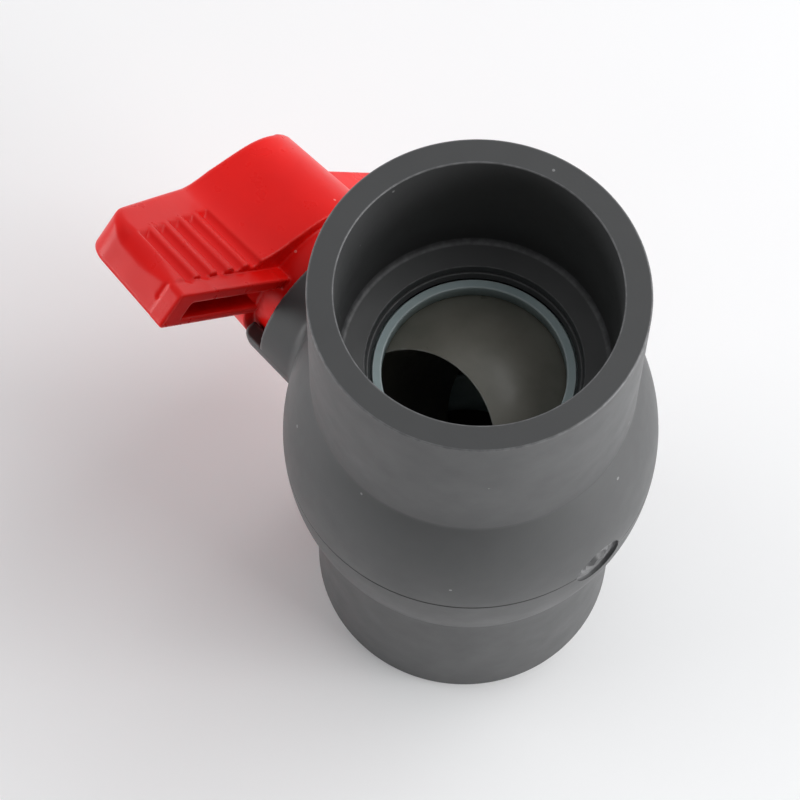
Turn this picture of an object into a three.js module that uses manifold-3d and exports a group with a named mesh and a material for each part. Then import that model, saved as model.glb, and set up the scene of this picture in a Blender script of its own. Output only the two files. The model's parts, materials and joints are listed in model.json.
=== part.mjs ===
// A compact plastic ball valve with solvent sockets and a two-wing handle.
// Millimetres, +Z along the pipe. The stem points along -X and the handle is turned part way from open.

import * as THREE from 'three';
import { mergeVertices } from 'three/addons/utils/BufferGeometryUtils.js';
import Module from 'manifold-3d';

const wasm = await Module();
wasm.setup();

// ---- Driving dimensions -------------------------------------------------------------------------

const gap = 0.3; // left between pieces that touch
const through = 5; // how far a cutter runs past the face that it opens
const roundSides = 44; // sides of a large turned piece
const middleSides = 28;
const smallSides = 20;

// Sockets for the pipe
const socketDepth = 36.5;
const socketMouthRadius = 31.5;
const socketTaper = 0.4; // how much narrower the socket is at its root
const socketWall = 6; // at the mouth
const rimChamfer = 0.5;
const pipeStopSlope = 1.4; // how much deeper the ledge that the pipe meets is at its inner edge
const pipeStopThickness = 1.8;
const pipeStopToSeat = 1.7; // from the ledge's inner edge to the seat's collar
const rootFillet = 1.1;

// Ball
const ballRadius = 37.2;
const ballBoreRadius = 21.75;
const ballSlotWidth = 8;
const ballSlotDepth = 6.6;
const ballAngle = 40.6; // degrees from fully open

// Carriers, the two half shells round the ball
const ballToCarrier = 0.5;
const carrierWall = 2.6;
const carrierEndWall = 3.2; // round the seat

// Seats, and the rubber rings behind them
const seatBoreStep = 0.55; // how much narrower the seat's bore is than the ball's
const seatCollarWall = 2.1;
const seatCollarHeight = 3.2;
const seatContactToShoulder = 0.668; // from the ball's innermost contact to the collar
const seatBelowLedge = 3.3; // from the ledge's inner edge down to the seat's face
const backingRingSection = 1.2; // radius of the rubber
const backingRingRoom = 0.8; // beside the rubber on each side

// Bulge round the ball
const bulgeWall = 4; // where the bulge is widest
const bulgeArcRadius = 75; // radius of the bulge's outline, seen from the side
const bulgeFillet = 3; // where the bulge meets a socket

// Stem and its bush; distances along the stem are from the ball's centre
const stemRadius = 10.5;
const stemCollarStep = 2.7; // how much wider the collar is than the stem
const stemCollarThickness = 2.6;
const tongueEndRoom = 1.2; // from the tongue's end to the collar's edge
const squareCornerRoom = 0.6; // from a corner of the square drive to the stem's surface
const squareLength = 15;
const thrustWasherThickness = 1;
const stemSealSection = 1.05;
const stemSealFirst = 3.4; // from the washer to the first seal
const stemSealPitch = 3.4;
const bushSealSection = 1.1;

// Neck round the bush
const stemToNeckBore = 8.5;
const neckWall = 4;
const neckPastBulge = 5.4;
const neckLip = 2.5; // how far the lip at the neck's end reaches in over the bush
const neckLipThickness = 1.3;
const stopWallHeight = 6.6;
const stopWallThickness = 4.2;
const stopWallRounding = 2.4;

// Handle; x runs along its wings, y is its thickness and z the distance along the stem
const handleAngle = 43; // degrees from fully open
const handleTravel = 90;
const stopClearance = 1; // degrees left at each stop
const handleToNeck = 0.5;
const hubHeight = 28.9;
const hubInset = 1.7; // how much narrower the hub is than the neck
const hubTaper = 1.9; // how much narrower the hub is at its top
const hubTopChamfer = 1;
const hubWall = 3.4;
const hubRoof = 3.2; // between the hollow under the hub and the cap
const bossWall = 2.3; // round the corners of the square drive
const skirtRingToWall = 0.6; // from the ring inside the stop wall to the wall
const stopRibInset = 0.1; // from the end of a stop rib to the neck's surface
const wingTip = 63.3; // from the stem's axis, at the wing's open edge
const wingTipSlope = 2; // how much shorter the wing is at its outer edge
const wingBack = -6.9;
const wingSkirtFront = 3.3;
const wingSkirtHeight = 4.4;
const wingFaceTip = 3.8; // front face at the tip
const wingFaceRoot = 5.4; // front face where its blend to the hub starts
const wingBlendRadius = 10;
const wingOuterDrop = 5; // how much lower the outer edge is at the tip than at the hub
const wingTipRounding = 6;
const wingCornerRounding = 3.4;
const wingWall = 3.1;
const wingEndWall = 6.6;
const wingRunsOver = 1.2; // radial room past the stop wall
const pocketOverlap = 1; // how far the wing's pocket opens into that room
const groovePitch = 6.5;
const grooveFromHub = 8.7; // first groove, from the foot of the hub
const grooveFromTip = 7.3; // last groove, from the wing's tip
const grooveRadius = 2.3;
const grooveDepth = 1.5;
const grooveFromOuterEdge = 8.4;

// Screw, washer and cap of the handle
const screwRadius = 2.4;
const screwHeadRadius = 5;
const screwHeadHeight = 3.2;
const screwLength = 17;
const screwWeb = 3; // handle material clamped under the screw
const handleWasherRadius = 6.4;
const handleWasherThickness = 1;
const capRim = 2.4; // how much wider the cap is than the washer
const capThickness = 2;
const capPlugLength = 3;
const capPlugWall = 1.2;

// Mark left by the gate of the mould, opposite the stem
const gateRadius = 6.65;
const gateDepth = 1.1;
const gateStubRadius = 2.1;
const gateStubHeight = 0.7;

// ---- Sizes worked out from them -----------------------------------------------------------------

const degrees = Math.PI / 180;
const socketOuterRadius = socketMouthRadius + socketWall;
const socketRootRadius = socketMouthRadius - socketTaper;
const carrierInner = ballRadius + ballToCarrier;
const carrierOuter = carrierInner + carrierWall;
const cavityRadius = carrierOuter + gap;
const bulgeRadius = cavityRadius + bulgeWall;

const seatBallRadius = ballRadius + gap;
const seatBoreRadius = ballBoreRadius - seatBoreStep;
const seatCollarRadius = seatBoreRadius + seatCollarWall;
const seatPocketRadius = seatCollarRadius + 2 * (backingRingSection + backingRingRoom);
const seatOuterRadius = seatPocketRadius - gap;
const seatContactHeight = Math.sqrt(seatBallRadius ** 2 - seatBoreRadius ** 2);
const seatShoulder = seatContactHeight + seatContactToShoulder;
const seatCeiling = seatShoulder + 2 * backingRingSection + 2 * gap;
const seatFace = seatShoulder + seatCollarHeight;
const carrierEndRadius = seatPocketRadius + carrierEndWall;
const carrierMouthRadius = seatCollarRadius + gap;

const pipeStopRadius = seatCollarRadius + pipeStopToSeat;
const ledgeInnerHeight = seatFace + seatBelowLedge;
const ledgeOuterHeight = ledgeInnerHeight + pipeStopSlope;
const cavityTop = ledgeInnerHeight - pipeStopThickness;
const carrierTop = cavityTop - gap;
const halfLength = ledgeOuterHeight + socketDepth;

const neckBoreRadius = stemRadius + stemToNeckBore;
const neckRadius = neckBoreRadius + neckWall;
const neckLipRadius = neckBoreRadius - neckLip;
const neckEnd = bulgeRadius + neckPastBulge;
const bushRadius = neckBoreRadius - gap;
const bushShoulder = neckEnd - neckLipThickness - gap;
const stemCollarRadius = stemRadius + stemCollarStep;
const stemCollarBottom = ballRadius + gap;
const stemCollarTop = stemCollarBottom + stemCollarThickness;
const tongueWidth = ballSlotWidth - 2 * gap;
const tongueLength = 2 * (stemCollarRadius - tongueEndRoom);
const washerTop = stemCollarTop + gap + thrustWasherThickness;
const bushCounterbore = washerTop + gap;
const stemSealHeights = [0, 1].map((i) => washerTop + stemSealFirst + i * stemSealPitch);
const stemBoreRadius = stemRadius + gap;
const bushSealHeight = (bushCounterbore + bushShoulder) / 2;
const squareSize = (stemRadius - squareCornerRoom) * Math.SQRT2; // across the flats
const squareBottom = neckEnd + handleToNeck;
const stemTop = squareBottom + squareLength;

const stopWallInner = neckRadius - stopWallThickness;
const stopWallTop = neckEnd + stopWallHeight;
const stopRibRadius = neckRadius - stopRibInset;
const hubBottom = stopWallTop + 2 * handleToNeck;
const hubTop = hubBottom + hubHeight;
const hubBottomRadius = neckRadius - hubInset;
const hubTopRadius = hubBottomRadius - hubTaper;
const hubHollowRadius = hubTopRadius - hubWall;
const runOverRadius = neckRadius + wingRunsOver;
const wingOpenEdge = hubBottom - wingSkirtHeight;
const grooveFirst = hubBottomRadius + grooveFromHub;
const grooveCount = 1 + Math.floor((wingTip - grooveFromTip - grooveFirst) / groovePitch + 0.01);
const driveHalf = squareSize / 2 + gap;
const bossRadius = driveHalf * Math.SQRT2 + bossWall;
const webBottom = stemTop + gap;
const webTop = webBottom + screwWeb;
const capRadius = handleWasherRadius + capRim;
const capSeat = hubTop - capThickness;
const capWellRadius = capRadius + gap;
const screwHeadBottom = webTop + 2 * gap + handleWasherThickness;

// ---- Colours ------------------------------------------------------------------------------------

const greyPlastic = new THREE.MeshStandardMaterial({ color: 0x55565a, roughness: 0.5, metalness: 0 });
const redPlastic = new THREE.MeshStandardMaterial({ color: 0xd81e18, roughness: 0.3, metalness: 0 });
const ballPlastic = new THREE.MeshStandardMaterial({ color: 0x4a453d, roughness: 0.4, metalness: 0 });
const seatPlastic = new THREE.MeshStandardMaterial({ color: 0x7d8e96, roughness: 0.5, metalness: 0 });
const blackRubber = new THREE.MeshStandardMaterial({ color: 0x1b1b1c, roughness: 0.8, metalness: 0 });
const steel = new THREE.MeshStandardMaterial({ color: 0xb9bcc0, roughness: 0.35, metalness: 1 });

// ---- Helpers ------------------------------------------------------------------------------------

// A closed solid for cutting and joining, from a three.js geometry
function solid(geometry) {
  const plain = geometry.index ? geometry.toNonIndexed() : geometry.clone();
  plain.deleteAttribute('normal');
  plain.deleteAttribute('uv');
  const merged = mergeVertices(plain, 1e-4);
  const mesh = new wasm.Mesh({
    numProp: 3,
    vertProperties: new Float32Array(merged.attributes.position.array),
    triVerts: new Uint32Array(merged.index.array),
  });
  return new wasm.Manifold(mesh);
}

// A named mesh from a solid
function mesh(name, shape, material) {
  const made = shape.getMesh();
  const geometry = new THREE.BufferGeometry();
  geometry.setAttribute('position', new THREE.BufferAttribute(new Float32Array(made.vertProperties), 3));
  geometry.setIndex(new THREE.BufferAttribute(new Uint32Array(made.triVerts), 1));
  geometry.computeVertexNormals();
  const result = new THREE.Mesh(geometry, material);
  result.name = name;
  return result;
}

// A solid turned about Z from an outline of [radius, height] points, listed anticlockwise
function turned(outline, sides = roundSides) {
  const points = outline.map(([radius, height]) => new THREE.Vector2(radius, height));
  const closed = outline[0][0] === 0 && outline[outline.length - 1][0] === 0;
  if (!closed) points.push(points[0].clone());
  const geometry = new THREE.LatheGeometry(points, sides);
  geometry.rotateX(Math.PI / 2);
  return solid(geometry);
}

// A solid cylinder about Z
function rod(radius, bottom, top, sides = smallSides) {
  return turned([[0, bottom], [radius, bottom], [radius, top], [0, top]], sides);
}

// A tube about Z
function tube(inner, outer, bottom, top, sides = smallSides) {
  return turned([[inner, bottom], [outer, bottom], [outer, top], [inner, top]], sides);
}

// A rubber ring about Z
function rubberRing(radius, height, section) {
  const outline = [];
  for (let i = 0; i < 8; i += 1) {
    const angle = (i / 8) * 2 * Math.PI;
    outline.push([radius + section * Math.cos(angle), height + section * Math.sin(angle)]);
  }
  return turned(outline, middleSides);
}

// A box between two corners
function block(low, high) {
  const size = high.map((value, i) => value - low[i]);
  const geometry = new THREE.BoxGeometry(...size);
  geometry.translate(...low.map((value, i) => value + size[i] / 2));
  return solid(geometry);
}

// A flat outline in X and Y, raised from one height to another
function raised(shape, bottom, top, curveSteps = 10) {
  const settings = { depth: top - bottom, bevelEnabled: false, curveSegments: curveSteps };
  const geometry = new THREE.ExtrudeGeometry(shape, settings);
  geometry.translate(0, 0, bottom);
  return solid(geometry);
}

// Points on an arc, as [x, y] pairs from one angle to another
function arc(centre, radius, from, to, steps) {
  return Array.from({ length: steps + 1 }, (_, i) => {
    const angle = from + ((to - from) * i) / steps;
    return [centre[0] + radius * Math.cos(angle), centre[1] + radius * Math.sin(angle)];
  });
}

// The same outline for heights below zero, in the order that continues it
function mirrored(outline) {
  return outline.map(([radius, height]) => [radius, -height]).reverse();
}

const alongStem = [0, -90, 0]; // turns a solid about Z into one about the stem

// ---- Body ---------------------------------------------------------------------------------------

// Outer outline of the upper half, from the bulge's widest circle to the top of the socket
function bodyOuterHalf() {
  const centre = bulgeRadius - bulgeArcRadius;
  const filletCentre = socketOuterRadius + bulgeFillet;
  const reach = bulgeArcRadius + bulgeFillet;
  const filletHeight = Math.sqrt(reach ** 2 - (filletCentre - centre) ** 2);
  const meet = Math.atan2(filletHeight, filletCentre - centre);
  return [
    ...arc([centre, 0], bulgeArcRadius, 0, meet, 7),
    ...arc([filletCentre, filletHeight], bulgeFillet, Math.PI + meet, Math.PI, 2).slice(1),
    [socketOuterRadius, halfLength - rimChamfer],
    [socketOuterRadius - rimChamfer, halfLength],
  ];
}

// Inner outline of the upper half, from the top of the socket down to the cavity's widest circle
function bodyInnerHalf() {
  const endRadius = carrierEndRadius + gap;
  const endHeight = Math.sqrt(cavityRadius ** 2 - endRadius ** 2);
  return [
    [socketMouthRadius + rimChamfer, halfLength],
    [socketMouthRadius, halfLength - rimChamfer],
    [socketRootRadius, ledgeOuterHeight + rootFillet],
    [socketRootRadius - rootFillet, ledgeOuterHeight],
    [pipeStopRadius, ledgeInnerHeight],
    [pipeStopRadius, cavityTop],
    [endRadius, cavityTop],
    ...arc([0, 0], cavityRadius, Math.atan2(endHeight, endRadius), 0, 5),
  ];
}

function stopWall() {
  const corner = [neckRadius - stopWallRounding, stopWallTop - stopWallRounding];
  const ring = turned([
    [stopWallInner, neckEnd - 1],
    [neckRadius, neckEnd - 1],
    ...arc(corner, stopWallRounding, 0, Math.PI / 2, 4),
    [stopWallInner, stopWallTop],
  ]);
  const reach = neckRadius + through;
  const lowerHalf = block([-reach, -reach, neckEnd - through], [0, reach, stopWallTop + through]);
  return ring.intersect(lowerHalf);
}

function valveBody() {
  const shell = turned([...mirrored(bodyOuterHalf()), ...bodyOuterHalf().slice(1),
    ...bodyInnerHalf(), ...mirrored(bodyInnerHalf()).slice(1)]);
  const neck = rod(neckRadius, ballRadius / 2, neckEnd, roundSides).add(stopWall());
  const cavity = turned([[0, -cavityTop], [carrierEndRadius, -cavityTop],
    ...arc([0, 0], cavityRadius, -Math.acos(carrierEndRadius / cavityRadius),
      Math.acos(carrierEndRadius / cavityRadius), 12),
    [carrierEndRadius, cavityTop], [0, cavityTop]]);
  const neckBore = rod(neckBoreRadius, 0, neckEnd - neckLipThickness, roundSides)
    .add(rod(neckLipRadius, 0, neckEnd + through, roundSides));
  const gateFloor = bulgeRadius - gateDepth;
  const gate = rod(gateRadius, gateFloor, bulgeRadius + through)
    .subtract(rod(gateStubRadius, 0, gateFloor + gateStubHeight, 12));
  return shell
    .add(neck.rotate(alongStem).subtract(cavity))
    .subtract(neckBore.rotate(alongStem))
    .subtract(gate.rotate([0, 90, 0]));
}

// ---- Carriers, seats and their rubber rings -----------------------------------------------------

// The upper carrier; the lower one is its mirror image
function carrier() {
  const seam = gap / 2;
  const outerStart = Math.asin(seam / carrierOuter);
  const outerEnd = Math.acos(carrierEndRadius / carrierOuter);
  const innerStart = Math.acos(seatPocketRadius / carrierInner);
  const innerEnd = Math.asin(seam / carrierInner);
  const shell = turned([
    ...arc([0, 0], carrierOuter, outerStart, outerEnd, 6),
    [carrierEndRadius, carrierTop],
    [carrierMouthRadius + (carrierTop - seatCeiling) / 2, carrierTop],
    [carrierMouthRadius, seatCeiling],
    [seatPocketRadius, seatCeiling],
    ...arc([0, 0], carrierInner, innerStart, innerEnd, 5),
  ]);
  return shell.subtract(rod(neckBoreRadius, 0, cavityRadius + through, roundSides).rotate(alongStem));
}

function seat() {
  const bore = Math.acos(seatBoreRadius / seatBallRadius);
  const outer = Math.acos(seatOuterRadius / seatBallRadius);
  return turned([
    ...arc([0, 0], seatBallRadius, bore, outer, 2),
    [seatOuterRadius, seatShoulder],
    [seatCollarRadius, seatShoulder],
    [seatCollarRadius, seatFace],
    [seatBoreRadius, seatFace],
  ]);
}

function seatBackingRing() {
  const radius = (seatCollarRadius + seatPocketRadius) / 2;
  return rubberRing(radius, seatShoulder + gap + backingRingSection, backingRingSection);
}

// ---- Pieces on the stem's axis ------------------------------------------------------------------

function stemBush() {
  const endRadius = stemCollarRadius + gap;
  const endHeight = (radius) => Math.sqrt((carrierInner + gap) ** 2 - radius ** 2);
  const groove = bushSealSection + gap;
  return turned([
    [stemBoreRadius, bushCounterbore],
    [endRadius, bushCounterbore],
    [endRadius, endHeight(endRadius)],
    [bushRadius, endHeight(bushRadius)],
    [bushRadius, bushSealHeight - groove],
    [bushRadius - 2 * groove, bushSealHeight - groove],
    [bushRadius - 2 * groove, bushSealHeight + groove],
    [bushRadius, bushSealHeight + groove],
    [bushRadius, bushShoulder],
    [neckLipRadius - gap, bushShoulder],
    [neckLipRadius - gap, neckEnd],
    [stemBoreRadius, neckEnd],
  ]);
}

function bushSeal() {
  return rubberRing(bushRadius - gap - bushSealSection, bushSealHeight, bushSealSection);
}

function stemSeal(height) {
  return rubberRing(stemRadius - stemSealSection, height, stemSealSection);
}

function stem() {
  const half = stemSealSection + gap;
  const grooveRadiusAtFloor = stemRadius - 2 * stemSealSection - gap;
  const grooves = stemSealHeights.flatMap((height) => [
    [stemRadius, height - half],
    [grooveRadiusAtFloor, height - half],
    [grooveRadiusAtFloor, height + half],
    [stemRadius, height + half],
  ]);
  const shaft = turned([
    [0, stemCollarBottom],
    [stemCollarRadius, stemCollarBottom],
    [stemCollarRadius, stemCollarTop],
    [stemRadius, stemCollarTop],
    ...grooves,
    [stemRadius, squareBottom],
    [0, squareBottom],
  ], middleSides);
  const flat = squareSize / 2;
  const square = block([-flat, -flat, squareBottom - 1], [flat, flat, stemTop]);
  const tongueBottom = ballRadius - ballSlotDepth + gap;
  const tongue = block([-tongueWidth / 2, -tongueLength / 2, tongueBottom],
    [tongueWidth / 2, tongueLength / 2, stemCollarBottom + 1]);
  const tongueInCollar = rod(stemCollarRadius, tongueBottom, stemCollarTop, middleSides).intersect(tongue);
  const pilot = rod(screwRadius + gap, screwHeadBottom - screwLength - 2, stemTop + through, 16);
  const turn = ballAngle - handleAngle;
  return shaft.add(tongueInCollar.rotate([0, 0, -turn])).add(square).subtract(pilot);
}

function thrustWasher() {
  return tube(stemBoreRadius, stemCollarRadius, stemCollarTop + gap, washerTop, middleSides);
}

function ball() {
  const sphere = solid(new THREE.SphereGeometry(ballRadius, roundSides, roundSides / 2));
  const boreEnd = ballRadius + through;
  const bore = rod(ballBoreRadius, -boreEnd, boreEnd, middleSides).rotate([0, 90, 0]);
  const slotFloor = ballRadius - ballSlotDepth;
  const slotHalf = ballSlotWidth / 2;
  const slot = block([-slotHalf, -ballRadius, slotFloor], [slotHalf, ballRadius, ballRadius + 1]);
  return sphere.subtract(bore).subtract(slot);
}

// ---- Handle -------------------------------------------------------------------------------------

// Outline of a wing's upper part in X and Y: flat back, tapered front, and a blend into the hub
function wingPlan() {
  const slope = Math.atan2(wingFaceRoot - wingFaceTip, wingTip - hubTopRadius);
  const meanRadius = (hubTopRadius + hubBottomRadius) / 2;
  const blendY = wingFaceRoot + wingBlendRadius;
  const blendX = Math.sqrt((meanRadius + wingBlendRadius) ** 2 - blendY ** 2);
  const onHub = Math.atan2(blendY, blendX);
  const corner = [wingTip - wingCornerRounding, wingFaceTip - wingCornerRounding];
  const outline = [
    [0, wingBack],
    [wingTip, wingBack],
    ...arc(corner, wingCornerRounding, 0, Math.PI / 2 - slope, 5),
    ...arc([blendX, blendY], wingBlendRadius, -Math.PI / 2 - slope, onHub - Math.PI, 8),
    [0, 0],
  ];
  return new THREE.Shape(outline.map(([x, y]) => new THREE.Vector2(x, y)));
}

// Outline of a wing's lower part, the skirt that the open edge belongs to
function skirtPlan() {
  const corner = [wingTip - wingCornerRounding, wingSkirtFront - wingCornerRounding];
  const outline = [
    [0, wingBack],
    [wingTip, wingBack],
    ...arc(corner, wingCornerRounding, 0, Math.PI / 2, 5),
    [0, wingSkirtFront],
  ];
  return new THREE.Shape(outline.map(([x, y]) => new THREE.Vector2(x, y)));
}

// Height of the wing's outer edge at a distance from the stem's axis
function outerEdge(x) {
  return hubTop - (wingOuterDrop * Math.max(x - hubTopRadius, 0)) / (wingTip - hubTopRadius);
}

// Side outline in X and Z, raised along Y between two faces
function sideCut(outline, low, high) {
  const shape = new THREE.Shape(outline.map(([x, z]) => new THREE.Vector2(x, z)));
  return raised(shape, -high, -low).rotate([90, 0, 0]);
}

function wingSide() {
  const tipHeight = outerEdge(wingTip);
  const tipX = wingTip - wingTipSlope;
  const corner = [tipX - wingTipRounding, tipHeight - wingTipRounding];
  const outline = [
    [0, wingOpenEdge],
    [wingTip, wingOpenEdge],
    ...arc(corner, wingTipRounding, 0, Math.PI / 2, 6),
    [hubTopRadius, hubTop],
    [0, hubTop],
  ];
  return sideCut(outline, -bulgeRadius, bulgeRadius);
}

function wingPocket() {
  const inner = runOverRadius - pocketOverlap;
  const outer = wingTip - wingEndWall;
  const slant = outer - wingTipSlope;
  const outline = [
    [inner, wingOpenEdge - through],
    [outer, wingOpenEdge - through],
    [slant, outerEdge(wingTip) - wingTipRounding],
    [slant - wingWall, outerEdge(slant) - wingWall],
    [inner, outerEdge(inner) - wingWall],
  ];
  return sideCut(outline, wingBack + wingWall * 0.7, wingSkirtFront - wingWall);
}

function gripGroove(x) {
  const share = (x - hubTopRadius) / (wingTip - hubTopRadius);
  const face = wingFaceRoot + (wingFaceTip - wingFaceRoot) * share;
  const top = outerEdge(x) - grooveFromOuterEdge;
  const bar = rod(grooveRadius, wingOpenEdge, top, 16);
  const end = solid(new THREE.SphereGeometry(grooveRadius, 16, 8)).rotate([90, 0, 0]).translate([0, 0, top]);
  const upperPart = block([-grooveRadius, -grooveRadius, hubBottom - gap],
    [grooveRadius, grooveRadius, top + grooveRadius]);
  return bar.add(end).intersect(upperPart).translate([x, face + grooveRadius - grooveDepth, 0]);
}

function wing() {
  const plate = raised(wingPlan(), hubBottom, hubTop);
  const skirt = raised(skirtPlan(), wingOpenEdge, hubBottom + gap);
  let shape = plate.add(skirt).intersect(wingSide()).subtract(wingPocket());
  for (let i = 0; i < grooveCount; i += 1) {
    shape = shape.subtract(gripGroove(grooveFirst + i * groovePitch));
  }
  return shape;
}

// A quarter turn of the handle's underside, less the clearance at both stops
function stopQuarter(radius) {
  const from = stopClearance * degrees;
  const to = (180 - handleTravel - stopClearance) * degrees;
  const outline = [[0, 0], ...arc([0, 0], radius, from, to, 16)];
  return new THREE.Shape(outline.map(([x, y]) => new THREE.Vector2(x, y)));
}

// What reaches below the hub: the drive's boss, a ring inside the stop wall, and outside it the two ribs
// that meet the wall's ends. One rib carries on the near wing's front wall.
function handleUnderside() {
  const bottom = neckEnd + handleToNeck;
  const top = hubBottom + gap;
  const ringRadius = stopWallInner - skirtRingToWall;
  const boss = rod(bossRadius, bottom, top, middleSides);
  const ring = tube(hubHollowRadius, ringRadius, bottom, top, middleSides);
  const alongWing = block([0, 0, 0], [stopRibRadius, wingSkirtFront, top]);
  const acrossWing = block([0, 0, 0], [wingSkirtFront, stopRibRadius, top]);
  const ribs = raised(stopQuarter(stopRibRadius), wingOpenEdge, top)
    .intersect(alongWing.add(acrossWing))
    .subtract(rod(ringRadius - gap, 0, top + 1, middleSides));
  return boss.add(ring).add(ribs);
}

function handle() {
  const oneWing = wing();
  const hub = turned([[0, hubBottom], [hubBottomRadius, hubBottom],
    [hubTopRadius, hubTop - hubTopChamfer], [hubTopRadius - hubTopChamfer, hubTop], [0, hubTop]]);
  const hubHollow = tube(bossRadius, hubHollowRadius, 0, capSeat - hubRoof, middleSides);
  const besideRibs = rod(runOverRadius, 0, hubBottom, roundSides)
    .subtract(raised(stopQuarter(hubTop), -through, hubBottom + through));
  const driveHole = block([-driveHalf, -driveHalf, 0], [driveHalf, driveHalf, webBottom]);
  const screwHole = rod(screwRadius + 2 * gap, 0, hubTop);
  const well = rod(handleWasherRadius + gap, webTop, hubTop + through);
  const capWell = rod(capWellRadius, capSeat, hubTop + through);
  return oneWing.add(oneWing.rotate([0, 0, 180]))
    .subtract(besideRibs)
    .subtract(rod(stopRibRadius - gap, 0, hubBottom, roundSides))
    .add(hub)
    .subtract(hubHollow)
    .add(handleUnderside())
    .subtract(driveHole)
    .subtract(screwHole)
    .subtract(well)
    .subtract(capWell);
}

function handleScrew() {
  const top = screwHeadBottom + screwHeadHeight;
  const middle = screwHeadBottom + screwHeadHeight * 0.5;
  const shank = rod(screwRadius, screwHeadBottom - screwLength, screwHeadBottom + 1, 16);
  const head = turned([[0, screwHeadBottom], [screwHeadRadius, screwHeadBottom],
    [screwHeadRadius, middle], [screwHeadRadius * 0.7, top], [0, top]], smallSides);
  const slot = screwHeadRadius * 0.6;
  const blade = screwHeadRadius * 0.11;
  const across = block([-slot, -blade, middle], [slot, blade, top + 1]);
  return head.add(shank).subtract(across).subtract(across.rotate([0, 0, 90]));
}

function handleWasher() {
  return tube(screwRadius + gap, handleWasherRadius, webTop + gap, webTop + gap + handleWasherThickness);
}

function handleCap() {
  const plug = handleWasherRadius - gap;
  const plugInner = plug - capPlugWall;
  const plugBottom = capSeat - capPlugLength;
  return turned([[0, capSeat + gap], [plugInner, capSeat + gap], [plugInner, plugBottom],
    [plug, plugBottom], [plug, capSeat + gap], [capRadius, capSeat + gap],
    [capRadius, hubTop - gap], [capRadius - gap, hubTop], [0, hubTop]]);
}

// ---- Assembly -----------------------------------------------------------------------------------

// Pipe axis along Z, ball centre at the origin
const valve = new THREE.Group();
valve.add(mesh('valve_body', valveBody(), greyPlastic));
valve.add(mesh('carrier_upper', carrier(), greyPlastic));
valve.add(mesh('carrier_lower', carrier().mirror([0, 0, 1]), greyPlastic));
valve.add(mesh('seat_ring_upper', seat(), seatPlastic));
valve.add(mesh('seat_ring_lower', seat().mirror([0, 0, 1]), seatPlastic));
valve.add(mesh('seat_backing_ring_upper', seatBackingRing(), blackRubber));
valve.add(mesh('seat_backing_ring_lower', seatBackingRing().mirror([0, 0, 1]), blackRubber));

// Stem axis along Z in this group, with X along the pipe
const stemGroup = new THREE.Group();
stemGroup.rotation.y = -Math.PI / 2;
stemGroup.add(mesh('stem_bush', stemBush(), greyPlastic));
stemGroup.add(mesh('bush_seal', bushSeal(), blackRubber));
stemGroup.add(mesh('thrust_washer', thrustWasher(), seatPlastic));
valve.add(stemGroup);

const ballGroup = new THREE.Group();
ballGroup.rotation.z = -ballAngle * degrees;
ballGroup.add(mesh('ball', ball(), ballPlastic));
stemGroup.add(ballGroup);

const handleGroup = new THREE.Group();
handleGroup.rotation.z = -handleAngle * degrees;
handleGroup.add(mesh('stem', stem(), ballPlastic));
handleGroup.add(mesh('stem_seal_inner', stemSeal(stemSealHeights[0]), blackRubber));
handleGroup.add(mesh('stem_seal_outer', stemSeal(stemSealHeights[1]), blackRubber));
handleGroup.add(mesh('handle', handle(), redPlastic));
handleGroup.add(mesh('handle_screw', handleScrew(), steel));
handleGroup.add(mesh('handle_washer', handleWasher(), steel));
handleGroup.add(mesh('handle_cap', handleCap(), redPlastic));
stemGroup.add(handleGroup);

// The whole valve stands on its lower socket, with the middle of its plan at the origin
const assembly = new THREE.Group();
assembly.add(valve);
assembly.updateMatrixWorld(true);
const extent = new THREE.Box3().setFromObject(valve, true);
valve.position.set(-(extent.min.x + extent.max.x) / 2, -(extent.min.y + extent.max.y) / 2, -extent.min.z);

export default assembly;
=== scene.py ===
import json
import math

import bpy
import numpy as np
from mathutils import Matrix, Vector


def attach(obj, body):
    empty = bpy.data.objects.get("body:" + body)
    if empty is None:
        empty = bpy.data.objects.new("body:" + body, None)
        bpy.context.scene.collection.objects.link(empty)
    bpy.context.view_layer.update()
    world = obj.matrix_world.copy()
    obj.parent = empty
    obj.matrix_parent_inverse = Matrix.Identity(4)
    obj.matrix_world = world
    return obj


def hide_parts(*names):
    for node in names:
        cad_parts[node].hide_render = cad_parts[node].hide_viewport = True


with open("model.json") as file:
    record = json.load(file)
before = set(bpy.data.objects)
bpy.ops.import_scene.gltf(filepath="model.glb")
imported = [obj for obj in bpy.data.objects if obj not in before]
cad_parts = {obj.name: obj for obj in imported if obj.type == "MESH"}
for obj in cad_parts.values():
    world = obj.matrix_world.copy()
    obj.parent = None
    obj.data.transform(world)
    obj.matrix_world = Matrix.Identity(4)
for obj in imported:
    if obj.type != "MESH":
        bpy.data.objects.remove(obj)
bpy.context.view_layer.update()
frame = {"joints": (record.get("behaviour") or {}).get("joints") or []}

# Lengths are in millimetres from the ball's centre until mesh_piece() places them in the frame, in metres.
MM = 0.001
BALL_CENTRE = Vector(frame["joints"][0]["pos_m"])

# ---- Sizes, the same as the CAD model's ---------------------------------------------------------

HALF_LENGTH = 76.0
SOCKET_OUTER = 37.5
SOCKET_MOUTH = 31.5
SOCKET_ROOT = 31.1
LEDGE_OUTER_Z = 39.5
LEDGE_INNER_Z = 38.1
LEDGE_INNER = 25.0
CAVITY_TOP = 36.3
BULGE = 44.6
BULGE_ARC = 75.0
BULGE_FILLET = 3.0
CAVITY = 40.6
PARTING_LINE = 0.3
GAP = 0.3
GATE_RADIUS = 6.65
GATE_FLOOR = 43.1

BALL = 37.2
BALL_BORE = 21.75
BALL_SLOT_WIDTH = 8.0
BALL_SLOT_FLOOR = 30.6
BALL_ANGLE = math.radians(40.6)

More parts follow.
